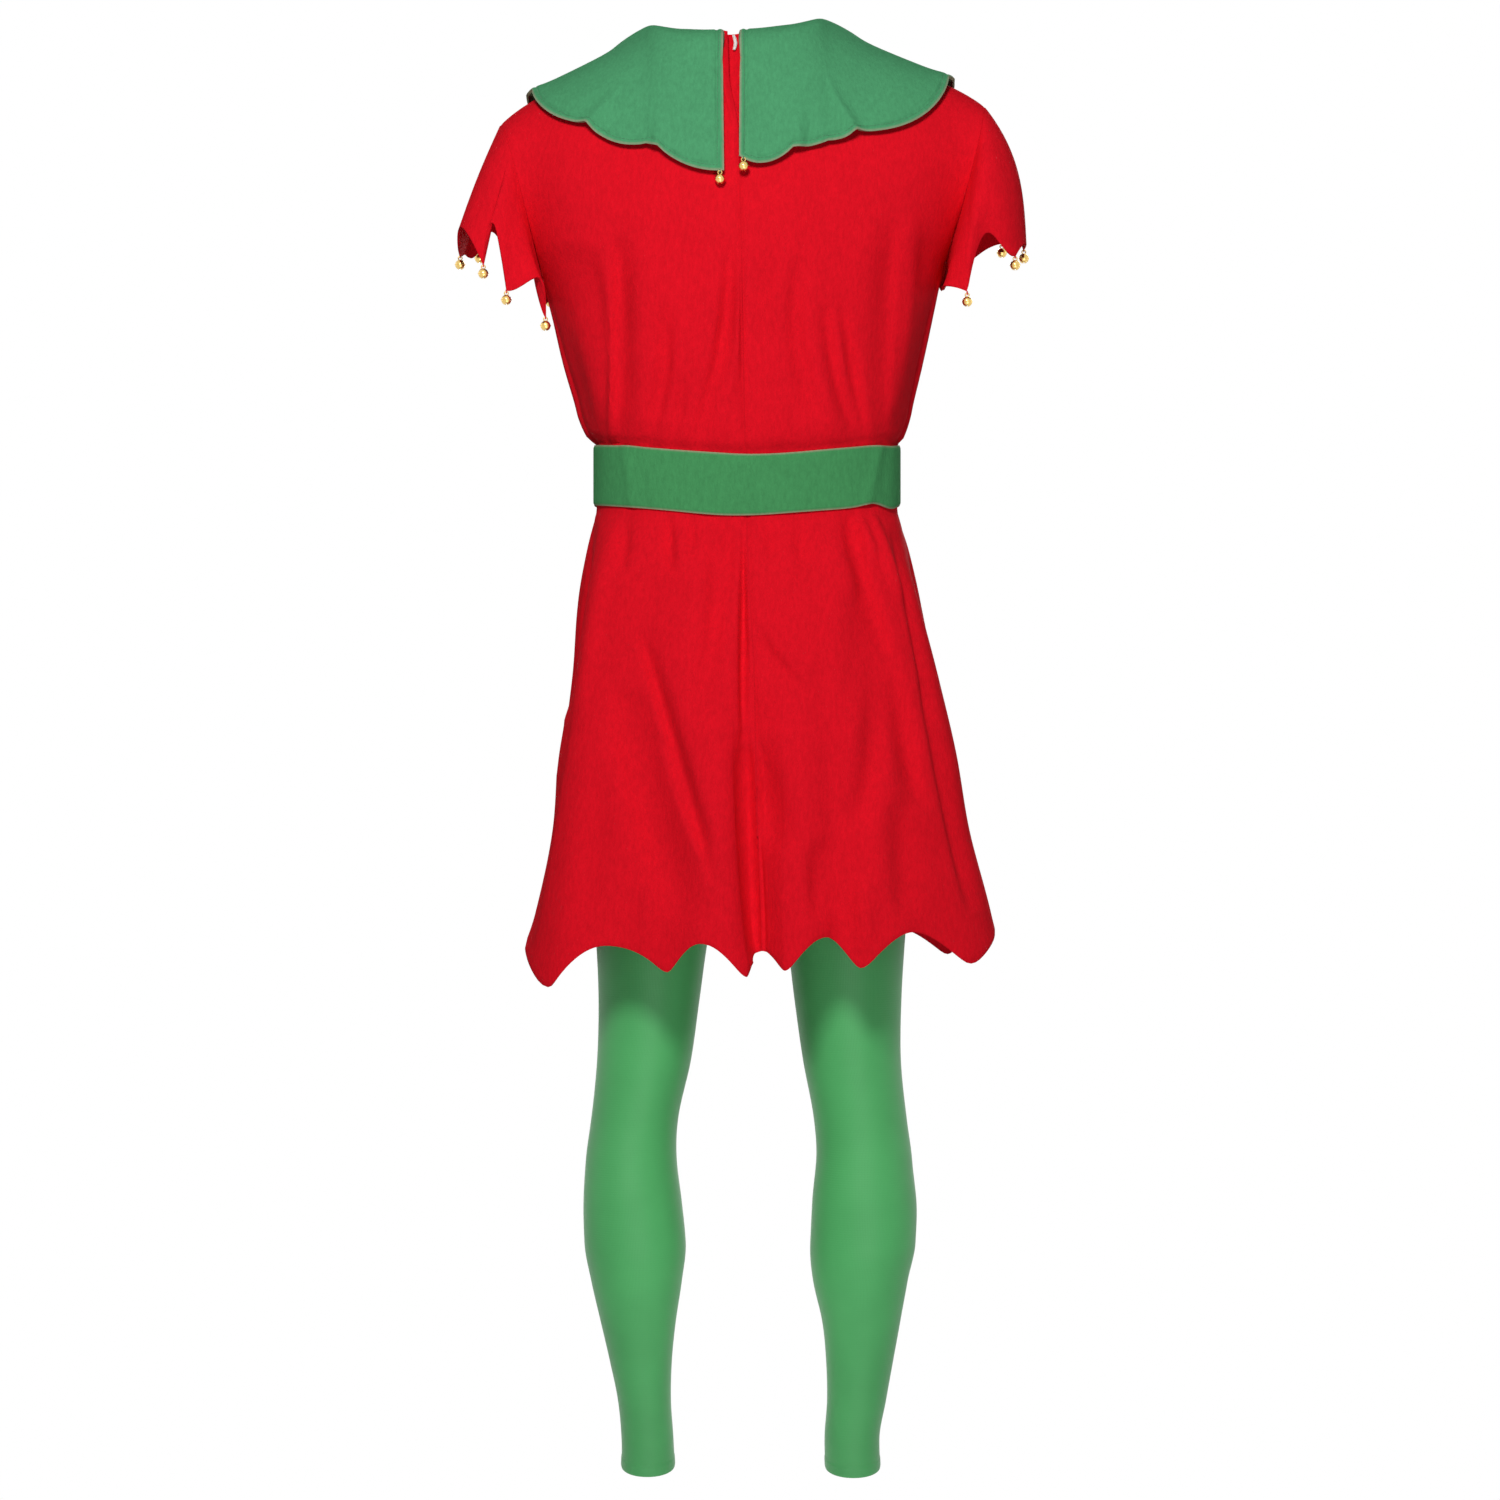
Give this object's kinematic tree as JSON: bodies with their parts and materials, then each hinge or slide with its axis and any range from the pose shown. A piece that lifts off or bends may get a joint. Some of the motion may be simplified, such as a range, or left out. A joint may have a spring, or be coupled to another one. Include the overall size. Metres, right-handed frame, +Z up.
{
  "type": "elf costume",
  "caption": "Filled-out elf costume, worn by no one: felt tunic with pointed hem and cuffs, wide collar split at the back, felt belt, small bells and footless leggings.",
  "frame": {"origin": "between the shoulders, level with the neck ends of the shoulder seams, where the wearer's neck and shoulders hold the costume up", "axes": "+Z up, +X the wearer's right, +Y the wearer's front, so the pictured back faces -Y"},
  "size_m": [0.575, 0.3351, 1.4541],
  "materials": {
    "red_felt": "soft brushed felt, matt, with a short nap",
    "green_felt": "soft brushed felt, matt, two layers stitched near the edge",
    "green_knit": "smooth stretch knit with a soft sheen",
    "brass_bell": "polished thin sheet",
    "white_tape": "woven hook-and-loop tape"
  },
  "bodies": {
    "root": {"tunic_back_left": "red_felt", "tunic_back_right": "red_felt", "tunic_front": "red_felt", "sleeve_left": "red_felt", "sleeve_right": "red_felt", "collar": "green_felt", "closure_tab": "white_tape", "belt": "green_felt", "legging_waistband": "green_knit", "legging_left": "green_knit", "legging_right": "green_knit", "bell_collar_left": "brass_bell", "bell_collar_right": "brass_bell", "bell_sleeve_left_1": "brass_bell", "bell_sleeve_left_2": "brass_bell", "bell_sleeve_left_3": "brass_bell", "bell_sleeve_left_4": "brass_bell", "bell_sleeve_left_5": "brass_bell", "bell_sleeve_left_6": "brass_bell", "bell_sleeve_left_7": "brass_bell", "bell_sleeve_right_1": "brass_bell", "bell_sleeve_right_2": "brass_bell", "bell_sleeve_right_3": "brass_bell", "bell_sleeve_right_4": "brass_bell", "bell_sleeve_right_5": "brass_bell", "bell_sleeve_right_6": "brass_bell", "bell_sleeve_right_7": "brass_bell"}
  },
  "joints": []
}
